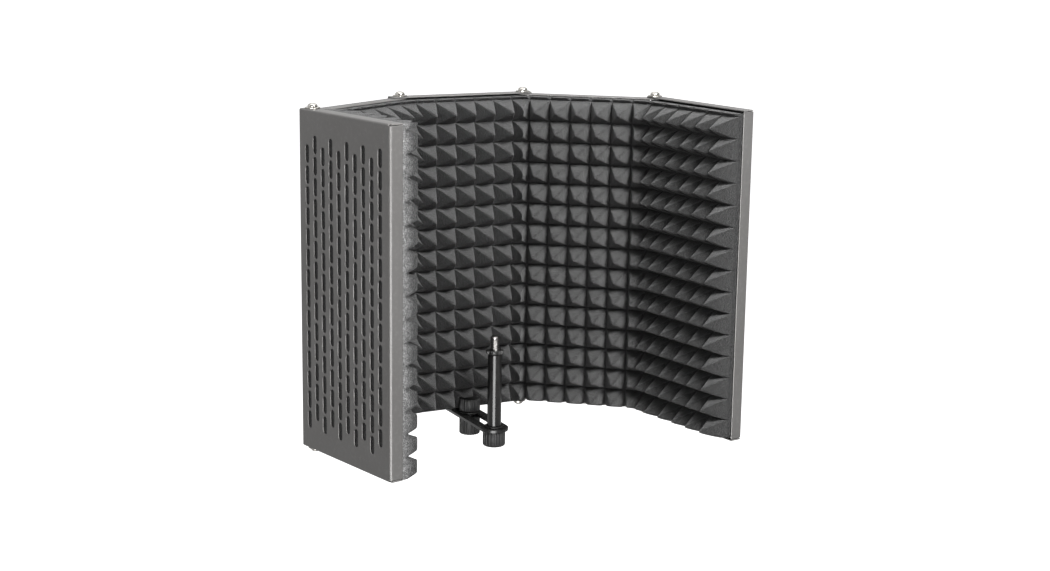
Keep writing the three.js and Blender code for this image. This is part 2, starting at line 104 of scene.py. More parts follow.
class Nodes:
    """A new material with short calls for the nodes it is made of."""

    def __init__(self, name, **sockets):
        self.material = bpy.data.materials.new(name)
        self.material.use_nodes = True
        self.tree = self.material.node_tree
        self.shader = self.tree.nodes["Principled BSDF"]
        for socket, value in sockets.items():
            self.shader.inputs[socket.replace("_", " ")].default_value = value
        self.place = self.tree.nodes.new("ShaderNodeTexCoord").outputs["Object"]

    def add(self, kind, inputs=(), **settings):
        node = self.tree.nodes.new(kind)
        for name, value in settings.items():
            setattr(node, name, value)
        for socket, value in dict(inputs).items():
            self.put(node.inputs[socket], value)
        return node

    def put(self, socket, value):
        if isinstance(value, bpy.types.NodeSocket):
            self.tree.links.new(value, socket)
        else:
            socket.default_value = value

    def noise(self, scale, detail=3, roughness=0.55):
        inputs = {"Vector": self.place, "Scale": scale, "Detail": detail, "Roughness": roughness}
        return self.add("ShaderNodeTexNoise", inputs).outputs["Fac"]

    def voronoi(self, scale, feature="F1"):
        inputs = {"Vector": self.place, "Scale": scale}
        return self.add("ShaderNodeTexVoronoi", inputs, feature=feature).outputs["Distance"]

    def spread(self, value, low, high, to_low, to_high):
        inputs = {"Value": value, "From Min": low, "From Max": high,
                  "To Min": to_low, "To Max": to_high}
        return self.add("ShaderNodeMapRange", inputs).outputs["Result"]

    def ramp(self, value, *stops):
        node = self.add("ShaderNodeValToRGB", {"Fac": value})
        elements = node.color_ramp.elements
        while len(elements) < len(stops):
            elements.new(0.5)
        for element, (place, colour) in zip(elements, stops):
            element.position = place
            element.color = (*colour, 1)
        return node.outputs["Color"]

    def math(self, operation, first, second):
        return self.add("ShaderNodeMath", {0: first, 1: second}, operation=operation).outputs[0]

    def blend(self, kind, share, first, second):
        node = self.add("ShaderNodeMix", data_type="RGBA", blend_type=kind)
        self.put(node.inputs["Factor"], share)
        self.put(node.inputs[6], first)
        self.put(node.inputs[7], second)
        return node.outputs[2]

    def bump(self, height, depth_m, strength=1.0, under=None):
        inputs = {"Height": height, "Distance": depth_m, "Strength": strength}
        node = self.add("ShaderNodeBump", inputs)
        if under is not None:
            self.put(node.inputs["Normal"], under)
        return node.outputs["Normal"]

    def use(self, **sockets):
        for socket, value in sockets.items():
            self.put(self.shader.inputs[socket.replace("_", " ")], value)
        return self.material


def grey(level, warmth=0.0):
    return (level * (1 + warmth), level, level * (1 - warmth))


def tray_paint(name, level):
    """Satin powder coat: fine orange peel, slow colour drift and a little dust."""
    n = Nodes(name, Metallic=0.35, IOR=1.5)
    drift = n.noise(9, 4)
    peel = n.noise(1500, 2)
    dust = n.noise(260, 6, 0.7)
    base = n.ramp(drift, (0.3, grey(level * 0.93, 0.03)), (0.7, grey(level * 1.07, 0.02)))
    speck = n.ramp(dust, (0.5, grey(1.0)), (0.72, grey(1.22)))
    colour = n.blend("MULTIPLY", 1.0, base, speck)
    roughness = n.spread(dust, 0.3, 0.7, 0.36, 0.46)
    return n.use(Base_Color=colour, Roughness=roughness, Normal=n.bump(peel, 0.00006, 0.35))


# Tones painted on the foam, which stand in for light and shade: painted shade on its hidden back,
# its own tones for its moulded sides and its outer rim, and painted light on a cut side.
BACK_PAINTED_SHADE = -1.0
SIDE_TONE = 0.6
RIM_TONE = 0.9
CUT_PAINTED_LIGHT = 1.3


def foam_material():
    """Open-cell foam: pores, a soft grain, painted highlight on the tips, painted shade on its back
    and painted light on a pale cut side.
    """
    n = Nodes("acoustic_foam_open_cell", Sheen_Weight=0.25, Sheen_Roughness=0.6)
    n.shader.inputs["Specular IOR Level"].default_value = 0.15
    pores = n.voronoi(1050)
    fine = n.noise(2600, 4, 0.7)
    coarse = n.noise(420, 5, 0.65)
    patch = n.noise(28, 3)
    # The rise attribute carries painted light and shade: each point's tone, from the dark back to
    # the pale cut side.
    rise = n.add("ShaderNodeAttribute", attribute_name="rise").outputs["Fac"]
    cell = n.ramp(pores, (0.12, grey(0.004)), (0.34, grey(0.013)), (0.62, grey(0.026)))
    grain = n.ramp(coarse, (0.33, grey(0.5)), (0.67, grey(1.6)))
    colour = n.blend("MULTIPLY", 1.0, cell, grain)
    tone = n.spread(rise, BACK_PAINTED_SHADE, CUT_PAINTED_LIGHT, 0, 1)
    # Painted light and shade: very dark at the hidden back, paler at the tips than in the valleys,
    # and many times paler on a cut side.
    foam_painted_light_and_shade = n.ramp(tone, (0.0, grey(0.12)), (0.4, grey(0.6)), (0.44, grey(1.3)),
                  (0.78, grey(1.05)), (0.87, grey(1.4)), (1.0, grey(9.0)))
    colour = n.blend("MULTIPLY", 1.0, colour, foam_painted_light_and_shade)
    drift = n.ramp(patch, (0.3, grey(0.88)), (0.7, grey(1.12)))
    colour = n.blend("MULTIPLY", 1.0, colour, drift)
    relief = n.math("ADD", n.math("MULTIPLY", pores, 0.9), n.math("MULTIPLY", coarse, 0.9))
    relief = n.math("ADD", relief, n.math("MULTIPLY", fine, 0.35))
    return n.use(Base_Color=colour, Roughness=0.95, Normal=n.bump(relief, 0.0011, 0.8))


def black_metal(name, roughness):
    """Black oxide finish with a faint grain and rubbed patches."""
    n = Nodes(name, Metallic=0.0, IOR=1.5)
    grain = n.noise(900, 3, 0.6)
    rubbed = n.noise(70, 5, 0.65)
    colour = n.ramp(rubbed, (0.35, grey(0.011)), (0.75, grey(0.022, 0.03)))
    polish = n.spread(rubbed, 0.3, 0.7, roughness - 0.05, roughness + 0.08)
    return n.use(Base_Color=colour, Roughness=polish, Normal=n.bump(grain, 0.00004, 0.3))


def black_plastic():
    """Moulded plastic with a fine spark-eroded grain."""
    n = Nodes("black_moulded_plastic", IOR=1.47)
    grain = n.voronoi(2400)
    drift = n.noise(60, 4)
    colour = n.ramp(drift, (0.3, grey(0.012)), (0.75, grey(0.021)))
    polish = n.spread(drift, 0.3, 0.7, 0.42, 0.54)
    return n.use(Base_Color=colour, Roughness=polish, Normal=n.bump(grain, 0.00005, 0.45))


def bright_metal(name, colour, roughness):
    """Plated or turned metal with fine handling marks."""
    n = Nodes(name, Metallic=1.0)
    marks = n.noise(420, 6, 0.75)
    cloud = n.noise(90, 3)
    dull = tuple(0.82 * c for c in colour)
    tint = n.ramp(cloud, (0.3, dull), (0.65, colour))
    polish = n.spread(marks, 0.35, 0.7, roughness, roughness + 0.16)
    return n.use(Base_Color=tint, Roughness=polish, Normal=n.bump(marks, 0.00003, 0.25))


PAINT = tray_paint("tray_powder_coat", 0.16)
PAINT_EDGE = tray_paint("tray_powder_coat_edge", 0.24)
FOAM = foam_material()
BLACK_METAL = black_metal("black_satin_metal", 0.24)
BLACK_GLOSS = black_metal("black_polished_metal", 0.17)
PLASTIC = black_plastic()
STEEL = bright_metal("turned_dark_steel", (0.36, 0.35, 0.34), 0.22)
NICKEL = bright_metal("nickel_plate", (0.66, 0.64, 0.6), 0.16)
BRASS = bright_metal("turned_brass", (0.62, 0.46, 0.2), 0.28)

# ---- Mesh helpers -----------------------------------------------------------------------


def new_piece(name, points, faces, materials, place=None, crease=35.0, indices=None):
    """A smooth-shaded mesh object from millimetre points, sharp where faces meet steeply."""
    mesh = bpy.data.meshes.new(name)
    mesh.from_pydata((np.asarray(points, float) * MM).tolist(), [], faces)
    for material in materials:
        mesh.materials.append(material)
    if indices is not None:
        mesh.polygons.foreach_set("material_index", indices)
    work = bmesh.new()
    work.from_mesh(mesh)
    bmesh.ops.recalc_face_normals(work, faces=work.faces)
    work.to_mesh(mesh)
    work.free()
    mesh.shade_smooth()
    mesh.set_sharp_from_angle(angle=math.radians(crease))
    piece = bpy.data.objects.new(name, mesh)
    bpy.context.scene.collection.objects.link(piece)
    if place is not None:
        piece.matrix_world = place
    return piece


def finish_piece(piece, body, slot, *nodes):
    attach(piece, body)
    if nodes:
        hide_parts(*nodes)
    return piece


def ring_faces(first, second, count):
    """Quads between two closed rings of the same count, given the index each starts at."""
    return [(first + k, first + (k + 1) % count, second + (k + 1) % count, second + k)
            for k in range(count)]


def rings_mesh(rings, closed, count):
    """Points and faces of a stack of rings. A ring is (radius, z), and radius 0 is a pole."""
    angles = np.arange(count) * 2 * math.pi / count
    points, faces, starts = [], [], []
    for radius, z in rings:
        starts.append((len(points), np.ndim(radius) == 0 and radius == 0))
        if starts[-1][1]:
            points.append((0, 0, z))
            continue
        radii = np.broadcast_to(radius, count)
        heights = np.broadcast_to(z, count)
        points.extend(zip(radii * np.cos(angles), radii * np.sin(angles), heights))
    pairs = list(zip(starts, starts[1:]))
    if closed:
        pairs.append((starts[-1], starts[0]))
    for (low, low_pole), (high, high_pole) in pairs:
        if low_pole:
            faces.extend((low, high + (k + 1) % count, high + k) for k in range(count))
        elif high_pole:
            faces.extend((low + k, low + (k + 1) % count, high) for k in range(count))
        else:
            faces.extend(ring_faces(low, high, count))
    return points, faces


def turned(name, rings, place, material, count=64, closed=False, crease=35.0):
    """A lathed solid. A closed stack of rings goes round a hole and back to its start."""
    points, faces = rings_mesh(rings, closed, count)
    return new_piece(name, points, faces, [material], place, crease)


def at(x, y, z=0.0):
    return Matrix.Translation(Vector((x, y, z)) * MM)


def span(node):
    """Centre x and y, low and high z, and outer radius of a round CAD node, in millimetres."""
    low, high = (Vector(corner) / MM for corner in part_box(node))
    return (low.x + high.x) / 2, (low.y + high.y) / 2, low.z, high.z, (high.x - low.x) / 2


RIB_SQUARENESS = 3.2
RIB_WIDENING = 0.15


def ribbed(radius, depth, ribs, count):
    """Radii of a ring with shallow ribs that have rounded edges."""
    wave = np.cos(np.arange(count) * 2 * math.pi / count * ribs) + RIB_WIDENING
    square = np.tanh(RIB_SQUARENESS * wave) / math.tanh(RIB_SQUARENESS)
    return radius - depth * (0.5 - 0.5 * square)


def threaded(major, depth, pitch, z, count):
    """Radii of a ring on a screw thread, at height z, with flats a sixth of the pitch wide."""
    turn = (z / pitch - np.arange(count) / count) % 1
    return major - depth * np.clip(1.25 - np.abs(turn - 0.5) * 3, 0, 1)


# ---- Panels -----------------------------------------------------------------------------

JOINTS = {joint["name"]: joint for joint in frame["joints"]}
SHEET = 1.2
BEND = 1.8
SIDE_BEND = 3.0
BEND_STEPS = 6
CHAMFER = 0.22
OUTER_Y = 8.3
RIM_Y = -5.2
PANEL_HEIGHT = 320.0
PIVOT_SPACING = 134.0
END_LENGTH = 134.6
LAP = 9.4
LAP_CORNER = 5.2
LAPPED_START = 10.4
LAPPED_INSET = 1.5
TAB_RADIUS = 6.5
PIVOT_HOLE = 2.3


def pivot(joint):
    x, y, _ = JOINTS[joint]["pos_m"]
    return Vector((x, y))


def rest_fold(joint):
    """Degrees that a hinge is folded at rest, from the two panels in line."""
    return -JOINTS[joint]["range_deg"][0]


def most_fold(joint):
    low, high = JOINTS[joint]["range_deg"]
    return high - low


PANEL_LOW_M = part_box("centre_tray")[0].z
CENTRE_Y_M = pivot("left_inner_fold").y
TURNS = {
    "centre": 0.0,
    "left_inner": rest_fold("left_inner_fold"),
    "left_end": rest_fold("left_inner_fold") + rest_fold("left_outer_fold"),
    "right_inner": -rest_fold("right_inner_fold"),
    "right_end": -rest_fold("right_inner_fold") - rest_fold("right_outer_fold"),
}
PIVOTS = {
    "centre": Vector((0, CENTRE_Y_M)),
    "left_inner": pivot("left_inner_fold"),
    "left_end": pivot("left_outer_fold"),
    "right_inner": pivot("right_inner_fold"),
    "right_end": pivot("right_outer_fold"),
}
BODIES = {
    "centre": "shield",
    "left_inner": "left_inner_panel",
    "left_end": "left_end_panel",
    "right_inner": "right_inner_panel",
    "right_end": "right_end_panel",
}
# Each panel's limits along its own x, how its two ends are made, and its slot columns.
PANELS = {
    "left_end": (-END_LENGTH, 0.0, "free", "laps", 10),
    "left_inner": (-PIVOT_SPACING, 0.0, "lapped", "lapped", 8),
    "centre": (-PIVOT_SPACING / 2, PIVOT_SPACING / 2, "laps", "laps", 11),
    "right_inner": (0.0, PIVOT_SPACING, "lapped", "lapped", 8),
    "right_end": (0.0, END_LENGTH, "laps", "free", 10),
}


def panel_place(name):
    x, y = PIVOTS[name]
    turn = Matrix.Rotation(math.radians(TURNS[name]), 4, "Z")
    return Matrix.Translation((x, y, PANEL_LOW_M)) @ turn


# ---- Sheet metal ------------------------------------------------------------------------


def shrunk(loop, amount):
    """A closed loop moved sideways into the material, which is on its left."""
    loop = np.asarray(loop, float)
    ahead = np.roll(loop, -1, 0) - loop
    ahead /= np.linalg.norm(ahead, axis=1)[:, None]
    left = np.stack([-ahead[:, 1], ahead[:, 0]], 1)
    bisector = left + np.roll(left, 1, 0)
    bisector /= np.linalg.norm(bisector, axis=1)[:, None]
    reach = np.clip((bisector * left).sum(1), 0.5, 1)
    return loop + bisector * (amount / reach)[:, None]


def thick_sheet(name, loops, lines, mapping, materials, place, thickness=SHEET):
    """A closed plate with bevelled edges. The first loop is its outline, the others are
    convex holes; lines are pairs of outline points that folds run between; mapping takes
    flat points and a depth below the outer face to the panel's frame."""
    faces_2d = [shrunk(loop, CHAMFER) for loop in loops]
    flat = np.concatenate(faces_2d)
    owner = np.concatenate([np.full(len(loop), k) for k, loop in enumerate(loops)])
    starts = np.cumsum([0] + [len(loop) for loop in loops[:-1]])
    edges = [(start + k, start + (k + 1) % len(loop))
             for start, loop in zip(starts.tolist(), loops) for k in range(len(loop))]
    edges += [tuple(line) for line in lines]
    found = delaunay_2d_cdt([Vector(p) for p in flat.tolist()], edges, [], 1, 1e-7)
    back_to = [ids[0] for ids in found[3]]
    triangles = [tuple(back_to[k] for k in face) for face in found[2]]
    triangles = [t for t in triangles
                 if not (owner[t[0]] == owner[t[1]] == owner[t[2]] and owner[t[0]] > 0)]
    nominal = np.concatenate([np.asarray(loop, float) for loop in loops])
    layers = [(flat, 0), (nominal, CHAMFER), (nominal, thickness - CHAMFER), (flat, thickness)]
    points = np.concatenate([mapping(layer, depth) for layer, depth in layers])
    count = len(flat)
    faces = triangles + [tuple(3 * count + k for k in t) for t in triangles]
    indices = [0] * len(faces)
    for low in range(3):
        for start, loop in zip(starts.tolist(), loops):
            first = low * count + start
            faces += ring_faces(first, first + count, len(loop))
            indices += [1] * len(loop)
    return new_piece(name, points, faces, materials, place, 30.0, indices)


def fold(distance, radius, depth):
    """Past a fold's start: how far along the plate, and how far in from its outer face."""
    angle = np.clip(distance / radius, 0, math.pi / 2)
    beyond = np.maximum(distance - radius * math.pi / 2, 0)
    along = (radius - depth) * np.sin(angle)
    inward = radius - (radius - depth) * np.cos(angle) + beyond
    return along, inward


def tray_mapping(low, high, ends, z_low, z_high):
    left = low + SIDE_BEND if ends[0] == "free" else -math.inf
    right = high - SIDE_BEND if ends[1] == "free" else math.inf

    def mapping(flat, depth):
        u, v = flat[:, 0], flat[:, 1]
        x, z = u.copy(), v.copy()
        y = np.full(len(flat), OUTER_Y - depth)
        tall = (v > z_high - BEND + 1e-6) | (v < z_low + BEND - 1e-6)
        for limit, sign, across in ((z_high - BEND, 1, False), (z_low + BEND, -1, False),
                                    (right, 1, True), (left, -1, True)):
            if math.isinf(limit):
                continue
            axis = u if across else v
            chosen = ((axis - limit) * sign > 0) & (~tall if across else tall)
            radius = SIDE_BEND if across else BEND
            along, inward = fold((axis[chosen] - limit) * sign, radius, depth)
            (x if across else z)[chosen] = limit + sign * along
            y[chosen] = OUTER_Y - inward
        return np.stack([x, y, z], 1)

    return mapping


ARC = BEND * math.pi / 2
SIDE_ARC = SIDE_BEND * math.pi / 2


def flap_at(y):
    """Developed distance past the fold of the flange point at that y."""
    return ARC + OUTER_Y - BEND - y


def flap_end(kind):
    """A flange's end from the plate's corner to its rim, as (past the hinge line, distance)."""
    steps = [ARC * k / BEND_STEPS for k in range(BEND_STEPS + 1)]
    turn = np.linspace(0, 1, 11)
    if kind == "laps":
        centre = LAP - LAP_CORNER
        angles = -turn * math.pi / 2
        arc = [(centre + LAP_CORNER * math.cos(a),
                flap_at(RIM_Y + LAP_CORNER + LAP_CORNER * math.sin(a))) for a in angles]
        return [(LAP, s) for s in steps] + arc
    if kind == "lapped":
        last = math.asin(RIM_Y / TAB_RADIUS)
        angles = math.pi / 2 + turn * (last - math.pi / 2)
        arc = [(TAB_RADIUS * math.cos(a), flap_at(TAB_RADIUS * math.sin(a))) for a in angles]
        return [(-LAPPED_START, s) for s in steps] + arc
    centre = OUTER_Y - SIDE_BEND
    corner = [(-SIDE_BEND + math.sqrt(max(SIDE_BEND ** 2 - (y - centre) ** 2, 0)), flap_at(y))
              for y in np.linspace(OUTER_Y - BEND, centre, 4)]
    return [(-SIDE_BEND, s) for s in steps] + corner + [(0, flap_at(RIM_Y))]


def side_flap(z_from, z_to):
    """The side flange's edge from the plate out to its rim, up, and back to the plate."""
    out = [SIDE_ARC * k / BEND_STEPS for k in range(1, BEND_STEPS + 1)]
    rim = SIDE_ARC + OUTER_Y - SIDE_BEND - RIM_Y
    return [(s - SIDE_BEND, z_from) for s in [*out, rim]] + [
        (s - SIDE_BEND, z_to) for s in [rim, *reversed(out)]]


def tray_outline(low, high, ends, z_low, z_high):
    """The flat blank's outline, anticlockwise, and the pairs of points its folds run between."""
    bottom, top = z_low + BEND, z_high - BEND
    loop, corners, flaps = [], {}, {}
    for side, limit, sign, kind in (("right", high, 1, ends[1]), ("left", low, -1, ends[0])):
        end = flap_end(kind)
        first, last = (bottom, -1), (top, 1)
        if side == "left":
            first, last = last, first
        base, way = first
        start = len(loop)
        loop += [(limit + sign * past, base + way * s) for past, s in reversed(end)]
        corners[side, way] = [start + len(end) - 1 - k for k in range(BEND_STEPS + 1)]
        if kind == "free":
            flap = side_flap(first[0], last[0])
            start = len(loop)
            loop += [(limit + sign * past, z) for past, z in flap]
            flaps[side] = [(start + k, start + len(flap) - 1 - k) for k in range(BEND_STEPS)]
            flaps[side].append((start - 1, start + len(flap)))
        base, way = last
        start = len(loop)
        loop += [(limit + sign * past, base + way * s) for past, s in end]
        corners[side, way] = [start + k for k in range(BEND_STEPS + 1)]
    lines = [pair for way in (-1, 1) for pair in zip(corners["left", way], corners["right", way])]
    lines += [pair for pairs in flaps.values() for pair in pairs]
    return loop, lines


SLOT_ROWS = 14
SLOT_PITCH = 19.3
SLOT_LENGTH = 17.2
SLOT_RADIUS = 3.0
SLOT_BOTTOMS = (29.3, 20.0)
SLOT_SIDE = 12.5


def round_hole(x, z, radius, count=20):
    angles = -np.arange(count) * 2 * math.pi / count
    return np.stack([x + radius * np.cos(angles), z + radius * np.sin(angles)], 1)


def slot_hole(x, z):
    """A tall slot with round ends, clockwise, about its centre."""
    turn = np.linspace(0, -math.pi, 9)
    reach = SLOT_LENGTH / 2 - SLOT_RADIUS
    upper = np.stack([-SLOT_RADIUS * np.cos(-turn), SLOT_RADIUS * np.sin(-turn) + reach], 1)
    return np.concatenate([upper, -upper]) + (x, z)


def slot_holes(x_low, x_high, columns):
    """Columns of slots that start at two heights by turns."""
    holes = []
    for column, x in enumerate(np.linspace(x_low + SLOT_SIDE, x_high - SLOT_SIDE, columns)):
        first = SLOT_BOTTOMS[column % 2] + SLOT_LENGTH / 2
        holes += [slot_hole(x, first + row * SLOT_PITCH) for row in range(SLOT_ROWS)]
    return holes


RIVETS = (-9.0, 9.0)
RIVET_Y = 1.5
PLATE_PAST = {"laps": LAP, "lapped": -LAPPED_START, "free": -SIDE_BEND}


def tray_shell(name):
    low, high, low_end, high_end, columns = PANELS[name]
    ends = (low_end, high_end)
    inset = LAPPED_INSET if "lapped" in ends else 0.0
    z_low, z_high = inset, PANEL_HEIGHT - inset
    outline, lines = tray_outline(low, high, ends, z_low, z_high)
    plate_low = low - PLATE_PAST[low_end]
    plate_high = high + PLATE_PAST[high_end]
    holes = slot_holes(plate_low, plate_high, columns)
    for x, kind in ((low, low_end), (high, high_end)):
        if kind != "free":
            holes.append(round_hole(x, z_high - BEND + flap_at(0), PIVOT_HOLE))
            holes.append(round_hole(x, z_low + BEND - flap_at(0), PIVOT_HOLE))
    if name == "centre":
        holes += [round_hole(x, BEND - flap_at(RIVET_Y), PIVOT_HOLE) for x in RIVETS]
    mapping = tray_mapping(low, high, ends, z_low, z_high)
    shell = thick_sheet(f"{name}_shell", [outline, *holes], lines, mapping,
                        [PAINT, PAINT_EDGE], panel_place(name))
    return finish_piece(shell, BODIES[name], "tray_paint", f"{name}_tray")


# ---- Foam -------------------------------------------------------------------------------

FOAM_ROWS = 15
FOAM_ROWS_SHORT = 6.6
FOAM_ROW = (PANEL_HEIGHT - FOAM_ROWS_SHORT) / FOAM_ROWS
FIRST_ROW = 0.3
FOAM_EDGE = 3.2
FREE_EDGE = 2.0
FOAM_LIP = 0.4
FOAM_GAP = 0.3
FOAM_CREASE = 42.0
FOAM_BACK_Y = OUTER_Y - SHEET - FOAM_GAP
VALLEY_DEPTH = 10.2
PYRAMID = 26.0
LEAST_HEIGHT = 0.965
MOST_COLUMNS = 8
RIDGE_POWER = 10.0
FLANK_FULLNESS = 0.08
KNOTS = np.array([0, 0.04, 0.12, 0.24, 0.38, 0.53, 0.68, 0.82, 0.93, 1.0])
EDGE_DEPTH = 5.6
EDGE_REACH = 7.5
EDGE_LINES = (1.2, 3, 5)
CUT_COLUMN_HEIGHT = 0.82
PRESS_GAP = 0.35
PRESS_SOFTNESS = 0.8
BACK_STRIP_Y = 4.6
HAIR = 0.1
TINY = 1e-4
# How far a pad's sides and its back stay within its panel, at each kind of end.
SIDE_MARGINS = {"free": FREE_EDGE, "laps": 6.0, "lapped": 6.0}
BACK_MARGINS = {"free": SHEET + FOAM_GAP, "laps": -4.5, "lapped": 5.7}
# Each pad's first valley, pitch and number of columns, and where along its panel it is kept.
PAD_COLUMNS = {
    "left_end": (-151.1, 20.9, 7, -END_LENGTH + FOAM_LIP, -4.8),
    "left_inner": (-138.2, 20.8, 6, -129.2, -13.4),
    "centre": (-54.0, 20.8, 5, -54.0, 50.0),
    "right_inner": (9.6, 20.8, 5, 9.6, 113.6),
    "right_end": (28.8, 20.5, 5, 28.8, END_LENGTH - FREE_EDGE),
}
# The hinge where a pad's end is pressed flat against its neighbour's.
PRESSED = {("left_end", 1): "left_outer_fold", ("left_inner", 0): "left_outer_fold"}
# Foam over a hinge: its columns, and the panel and place that each of its ends meets.
STRIPS = {
    "left_inner": (1, ("left_inner", -13.4), ("centre", -54.0)),
    "right_inner": (1, ("centre", 50.0), ("right_inner", 9.6)),
    "right_outer": (2, ("right_inner", 113.6), ("right_end", 28.8)),
}
STRIP_GAP = 0.1
STRIP_BEND = 12.0
STRIP_BACK = 4.6
STRIP_FALL = 0.8
STRIP_STEPS = 60


def cells_along(cells):
    """Coordinates along a row of pyramids, and how far each is from valley (0) to peak (1)."""
    places, shares = [cells[0][0]], [0.0]
    for low, middle, high in cells:
        places += [low + (middle - low) * k for k in KNOTS[1:]]
        shares += list(KNOTS[1:])
        places += [high - (high - middle) * k for k in KNOTS[-2::-1]]
        shares += list(KNOTS[-2::-1])
    return np.array(places), np.array(shares)


def even_cells(start, width, count):
    return [(start + k * width, start + (k + 0.5) * width, start + (k + 1) * width)
            for k in range(count)]


def with_lines(places, shares, extra):
    """The same grid with more lines in it."""
    merged = np.union1d(places, extra)
    return merged, np.interp(merged, places, shares)


def within(places, shares, low, high):
    """The grid between two limits, with a line on each of them."""
    places, shares = with_lines(places, shares, [low, high])
    kept = (places >= low) & (places <= high)
    return places[kept], shares[kept]


def rows_up(low, high):
    cells = even_cells(FIRST_ROW, FOAM_ROW, FOAM_ROWS + 1)
    places, shares = within(*cells_along(cells), low, high)
    edges = [place for line in EDGE_LINES for place in (low + line, high - line)]
    return with_lines(places, shares, edges)


def flank(share):
    """Height of a single ridge: slightly full sides up to a narrow crest."""
    return share * (1 + FLANK_FULLNESS - FLANK_FULLNESS * share)


def pyramids(across, up):
    """Share of the full height where two crossing sets of ridges are cut."""
    a, b = flank(across)[None, :] + TINY, flank(up)[:, None] + TINY
    met = (a ** -RIDGE_POWER + b ** -RIDGE_POWER) ** (-1 / RIDGE_POWER)
    return np.minimum(met / 2 ** (-1 / RIDGE_POWER), 1)


def unevenness(name, columns, zs):
    """Slightly different heights for the pyramids, given each grid column's own number."""
    rng = np.random.default_rng(sum(map(ord, name)))
    heights = rng.uniform(LEAST_HEIGHT, 1.0, (FOAM_ROWS + 1, MOST_COLUMNS))
    rows = np.clip(((zs - FIRST_ROW) / FOAM_ROW).astype(int), 0, FOAM_ROWS)
    return heights[rows][:, np.clip(columns.astype(int), 0, MOST_COLUMNS - 1)]


def soft_minimum(a, b, reach):
    return -reach * np.logaddexp(-a / reach, -b / reach)


def edge_fall(places):
    """How much lower the foam is near the two ends of its grid."""
    near = np.clip(1 - np.minimum(places - places[0], places[-1] - places) / EDGE_REACH, 0, 1)
    return (VALLEY_DEPTH - EDGE_DEPTH) * near ** 2


def pad_depths(name, xs, across, zs, up):
    """How far the foam stands out from the hinge plane over the pad's grid, and its shares."""
    low, high, low_end, high_end, _ = PANELS[name]
    first, pitch = PAD_COLUMNS[name][:2]
    share = pyramids(across, up)
    if low_end == "free":
        share[:, (xs > first + pitch) & (xs < first + 2 * pitch)] *= CUT_COLUMN_HEIGHT
    depth = VALLEY_DEPTH + PYRAMID * share * unevenness(name, (xs - first) / pitch, zs)
    if low_end != "free":
        depth -= edge_fall(zs)[:, None]
    if high_end == "free":
        fall = np.where(xs > xs.mean(), edge_fall(xs), 0)[None, :]
        depth = np.minimum(depth, VALLEY_DEPTH + PYRAMID * share - fall)
    for end, x in enumerate((low, high)):
        if (name, end) in PRESSED:
            half = math.radians(most_fold(PRESSED[name, end]) / 2)
            limit = (np.abs(xs - x) / math.tan(half) - PRESS_GAP / math.sin(half))[None, :]
            depth = soft_minimum(depth, np.broadcast_to(limit, depth.shape), PRESS_SOFTNESS)
    if name == "centre":
        depth = np.minimum(depth, knob_relief(xs, zs))
    return depth, share


RELIEF_RADIUS = 11.1
RELIEF_TOP = 15.8
NO_LIMIT = 99.0
ADAPTER_Y = CENTRE_Y_M / MM


def knob_relief(xs, zs):
    """Greatest depth of the middle pad, which makes room for the clamp knob."""
    inside = np.abs(xs) < RELIEF_RADIUS
    bow = np.sqrt(np.maximum(RELIEF_RADIUS ** 2 - xs ** 2, 0))
    limit = np.where(inside, ADAPTER_Y - bow, NO_LIMIT)
    return np.where((zs < RELIEF_TOP)[:, None], limit[None, :], NO_LIMIT)


def rim_indices(rows, columns):
    """The grid's border, once round."""
    grid = np.arange(rows * columns).reshape(rows, columns)
    return np.concatenate([grid[0, :-1], grid[:-1, -1], grid[-1, :0:-1], grid[:0:-1, 0]])


def grid_faces(across, up):
    """Triangles of the grid, cut along each pyramid's ridges."""
    faces = []
    columns = len(across)
    for row in range(len(up) - 1):
        for column in range(columns - 1):
            a = row * columns + column
            b, c, d = a + 1, a + columns + 1, a + columns
            rising = (across[column + 1] >= across[column]) == (up[row + 1] >= up[row])
            faces += [(a, b, c), (a, c, d)] if rising else [(a, b, d), (b, c, d)]
    return faces


def finish_foam(piece, tones):
    piece.data.attributes.new("rise", "FLOAT", "POINT").data.foreach_set(
        "value", np.asarray(tones, np.float32))
    return piece


def pad_grid(name):
    """The lines of a pad's grid along its panel and up it, each with its pyramid shares."""
    first, pitch, count, start, stop = PAD_COLUMNS[name]
    xs, across = within(*cells_along(even_cells(first, pitch, count)), start, stop)
    margin = FOAM_LIP if PANELS[name][2] == "free" else FOAM_EDGE
    zs, up = rows_up(margin, PANEL_HEIGHT - margin)
    if name == "centre":
        sides = [side + step for side in (-RELIEF_RADIUS, RELIEF_RADIUS) for step in (-HAIR, HAIR)]
        xs, across = with_lines(xs, across, sides)
        zs, up = with_lines(zs, up, [RELIEF_TOP - HAIR, RELIEF_TOP + HAIR])
    return xs, across, zs, up


def pad_tones(share, grid_x, grid_z, rim, cut, hidden):
    """Tones of the front grid, of two rings round the sides, and of the hidden points."""
    # Painted highlight: the front is paler towards the pyramids' tips.
    front = np.clip(share.ravel(), 0, 1)
    sides = np.full(len(rim), SIDE_TONE)
    outer = np.isin(grid_z, (grid_z[0], grid_z[-1]))
    if cut:
        outer |= grid_x == grid_x[0]
        # Painted light: the cut side, which faces the lamps, is painted much paler.
        sides[grid_x[rim] == grid_x[0]] = CUT_PAINTED_LIGHT
    front[outer] = np.maximum(front[outer], RIM_TONE)
    # The hidden points at the back get painted shade, so the foam seen through the slots looks
    # dark.
    return np.concatenate([front, sides, sides, np.full(hidden, BACK_PAINTED_SHADE)])


